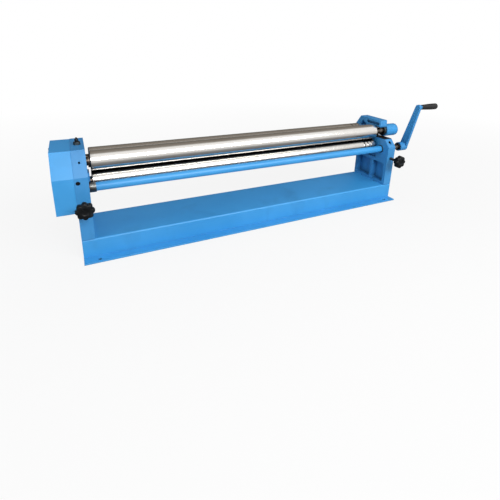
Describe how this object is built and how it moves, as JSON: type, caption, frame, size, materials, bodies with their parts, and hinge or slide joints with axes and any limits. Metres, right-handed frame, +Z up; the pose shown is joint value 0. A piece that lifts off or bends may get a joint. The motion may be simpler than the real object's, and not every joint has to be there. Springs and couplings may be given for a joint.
{
  "type": "slip roll machine",
  "caption": "Bench slip roll: geared pinch rolls and an adjustable rear roll between end frames on a channel base, turned by a side crank; the top roll swings out.",
  "frame": {"origin": "centre of the base's underside, midway between the four foot bolts", "axes": "+X along the rolls towards the crank, +Y towards the back (rear roll), +Z up"},
  "size_m": [1.6505, 0.3585, 0.4483],
  "materials": {
    "base_channel": "smooth sky-blue enamel",
    "left_frame": "smooth sky-blue enamel",
    "right_frame": "smooth sky-blue enamel",
    "frame_bolts": "blackened steel",
    "guide_screws": "blackened steel",
    "pivot_screw": "oily dark steel",
    "pivot_nut": "blackened steel",
    "swivel_block": "smooth sky-blue enamel",
    "swivel_bush": "oiled bearing bronze",
    "top_roll": "ground and polished",
    "top_gear": "oily dark steel",
    "top_gear_key": "oily dark steel",
    "top_gear_clip": "blackened steel",
    "release_sleeve": "smooth sky-blue enamel",
    "sleeve_ring": "ground and polished",
    "sleeve_screw": "blackened steel",
    "lower_roll": "ground and polished",
    "lower_gear": "oily dark steel",
    "lower_gear_key": "oily dark steel",
    "lower_gear_clip": "blackened steel",
    "lower_block_left": "smooth sky-blue enamel",
    "lower_block_right": "smooth sky-blue enamel",
    "lower_bush_left": "oiled bearing bronze",
    "lower_bush_right": "oiled bearing bronze",
    "wedge_left": "smooth sky-blue enamel",
    "wedge_right": "smooth sky-blue enamel",
    "pinch_screw_left": "blackened steel",
    "pinch_screw_right": "blackened steel",
    "pinch_knob_left": "moulded black plastic",
    "pinch_knob_right": "moulded black plastic",
    "rear_roll": "ground and polished",
    "rear_block_left": "smooth sky-blue enamel",
    "rear_block_right": "smooth sky-blue enamel",
    "rear_bush_left": "oiled bearing bronze",
    "rear_bush_right": "oiled bearing bronze",
    "rear_screw_left": "blackened steel",
    "rear_screw_right": "blackened steel",
    "rear_knob_left": "moulded black plastic",
    "rear_knob_right": "moulded black plastic",
    "drive_bush_left": "oiled bearing bronze",
    "drive_bush_right": "oiled bearing bronze",
    "drive_shaft": "smooth sky-blue enamel",
    "drive_collar": "ground and polished",
    "drive_gear": "oily dark steel",
    "drive_gear_key": "oily dark steel",
    "drive_washer": "oily dark steel",
    "drive_nut": "oily dark steel",
    "idler_stud": "oily dark steel",
    "idler_bush": "oiled bearing bronze",
    "idler_gear": "oily dark steel",
    "idler_clip": "blackened steel",
    "crank_spacer": "blackened steel",
    "crank_arm": "smooth sky-blue enamel",
    "crank_set_screw": "blackened steel",
    "grip_spindle": "ground and polished",
    "grip_snap_ring": "blackened steel",
    "crank_grip": "moulded black plastic",
    "gear_cover": "smooth sky-blue enamel",
    "cover_screws": "blackened steel"
  },
  "bodies": {
    "frame": {"base_channel": "base_channel", "left_frame": "left_frame", "right_frame": "right_frame", "frame_bolts": "frame_bolts", "guide_screws": "guide_screws", "pivot_screw": "pivot_screw", "pivot_nut": "pivot_nut", "drive_bush_left": "drive_bush_left", "drive_bush_right": "drive_bush_right", "idler_stud": "idler_stud", "idler_clip": "idler_clip"},
    "crank": {"drive_shaft": "drive_shaft", "drive_collar": "drive_collar", "drive_gear": "drive_gear", "drive_gear_key": "drive_gear_key", "drive_washer": "drive_washer", "drive_nut": "drive_nut", "crank_spacer": "crank_spacer", "crank_arm": "crank_arm", "crank_set_screw": "crank_set_screw", "grip_spindle": "grip_spindle", "grip_snap_ring": "grip_snap_ring"},
    "grip": {"crank_grip": "crank_grip"},
    "idler": {"idler_gear": "idler_gear", "idler_bush": "idler_bush"},
    "lower_bearings": {"lower_block_left": "lower_block_left", "lower_block_right": "lower_block_right", "lower_bush_left": "lower_bush_left", "lower_bush_right": "lower_bush_right"},
    "lower_roll_body": {"lower_roll": "lower_roll", "lower_gear": "lower_gear", "lower_gear_key": "lower_gear_key", "lower_gear_clip": "lower_gear_clip"},
    "wedge_left_body": {"wedge_left": "wedge_left"},
    "wedge_right_body": {"wedge_right": "wedge_right"},
    "pinch_knob_left_body": {"pinch_screw_left": "pinch_screw_left", "pinch_knob_left": "pinch_knob_left"},
    "pinch_knob_right_body": {"pinch_screw_right": "pinch_screw_right", "pinch_knob_right": "pinch_knob_right"},
    "rear_bearings": {"rear_block_left": "rear_block_left", "rear_block_right": "rear_block_right", "rear_bush_left": "rear_bush_left", "rear_bush_right": "rear_bush_right"},
    "rear_roll_body": {"rear_roll": "rear_roll"},
    "rear_knob_left_body": {"rear_screw_left": "rear_screw_left", "rear_knob_left": "rear_knob_left"},
    "rear_knob_right_body": {"rear_screw_right": "rear_screw_right", "rear_knob_right": "rear_knob_right"},
    "swivel": {"swivel_block": "swivel_block", "swivel_bush": "swivel_bush"},
    "top_roll_body": {"top_roll": "top_roll", "top_gear": "top_gear", "top_gear_key": "top_gear_key", "top_gear_clip": "top_gear_clip"},
    "sleeve": {"release_sleeve": "release_sleeve", "sleeve_ring": "sleeve_ring", "sleeve_screw": "sleeve_screw"},
    "cover": {"gear_cover": "gear_cover", "cover_screws": "cover_screws"}
  },
  "joints": [
    {"name": "crank_spin", "type": "hinge", "parent": "frame", "child": "crank", "pos_m": [0, -0.05388, 0.236], "axis": [1, 0, 0], "continuous": true},
    {"name": "grip_spin", "type": "hinge", "parent": "crank", "child": "grip", "pos_m": [0, -0.1059, 0.43429], "axis": [1, 0, 0], "continuous": true},
    {"name": "idler_spin", "type": "hinge", "parent": "frame", "child": "idler", "pos_m": [0, -0.05058, 0.29791], "axis": [1, 0, 0], "continuous": true},
    {"name": "pinch_lift", "type": "slide", "parent": "frame", "child": "lower_bearings", "axis": [0, 0, 1], "range_m": [-0.0008, 0]},
    {"name": "lower_roll_spin", "type": "hinge", "parent": "lower_bearings", "child": "lower_roll_body", "pos_m": [0, 0, 0.2396], "axis": [1, 0, 0], "continuous": true},
    {"name": "wedge_left_slide", "type": "slide", "parent": "frame", "child": "wedge_left_body", "axis": [0, 1, 0], "range_m": [-0.0064, 0]},
    {"name": "wedge_right_slide", "type": "slide", "parent": "frame", "child": "wedge_right_body", "axis": [0, 1, 0], "range_m": [-0.0064, 0]},
    {"name": "pinch_knob_left_turn", "type": "hinge", "parent": "wedge_left_body", "child": "pinch_knob_left_body", "pos_m": [-0.6585, -0.148, 0.2], "axis": [0, 1, 0], "range_deg": [-1320, 0]},
    {"name": "pinch_knob_right_turn", "type": "hinge", "parent": "wedge_right_body", "child": "pinch_knob_right_body", "pos_m": [0.6585, -0.148, 0.2], "axis": [0, 1, 0], "range_deg": [-1320, 0]},
    {"name": "rear_lift", "type": "slide", "parent": "frame", "child": "rear_bearings", "axis": [0, -0.5, 0.866], "range_m": [-0.022, 0.02]},
    {"name": "rear_roll_spin", "type": "hinge", "parent": "rear_bearings", "child": "rear_roll_body", "pos_m": [0, 0.088, 0.298], "axis": [1, 0, 0], "continuous": true},
    {"name": "rear_knob_left_turn", "type": "hinge", "parent": "rear_bearings", "child": "rear_knob_left_body", "pos_m": [-0.6585, 0.088, 0.298], "axis": [0, -0.5, 0.866], "range_deg": [-4530, 4118]},
    {"name": "rear_knob_right_turn", "type": "hinge", "parent": "rear_bearings", "child": "rear_knob_right_body", "pos_m": [0.6585, 0.088, 0.298], "axis": [0, -0.5, 0.866], "range_deg": [-4530, 4118]},
    {"name": "top_roll_swing", "type": "hinge", "parent": "frame", "child": "swivel", "pos_m": [-0.6585, 0.012, 0.31], "axis": [0, 0, -1], "range_deg": [0, 13]},
    {"name": "top_roll_spin", "type": "hinge", "parent": "swivel", "child": "top_roll_body", "pos_m": [0, 0, 0.31], "axis": [1, 0, 0], "continuous": true},
    {"name": "release_sleeve_slide", "type": "slide", "parent": "swivel", "child": "sleeve", "axis": [1, 0, 0], "range_m": [-0.012, 0]},
    {"name": "gear_cover_off", "type": "slide", "parent": "frame", "child": "cover", "axis": [-1, 0, 0], "range_m": [0, 0.12]}
  ],
  "couplings": [
    {"joint": "lower_roll_spin", "follows": "crank_spin", "ratio": -1.4545},
    {"joint": "idler_spin", "follows": "crank_spin", "ratio": -1.0667},
    {"joint": "top_roll_spin", "follows": "crank_spin", "ratio": 1.4545},
    {"joint": "wedge_left_slide", "follows": "pinch_lift", "ratio": 8},
    {"joint": "wedge_right_slide", "follows": "pinch_lift", "ratio": 8},
    {"joint": "pinch_knob_left_turn", "follows": "pinch_lift", "rad_per_m": 28723},
    {"joint": "pinch_knob_right_turn", "follows": "pinch_lift", "rad_per_m": 28723},
    {"joint": "rear_knob_left_turn", "follows": "rear_lift", "rad_per_m": 3590.4},
    {"joint": "rear_knob_right_turn", "follows": "rear_lift", "rad_per_m": 3590.4}
  ]
}
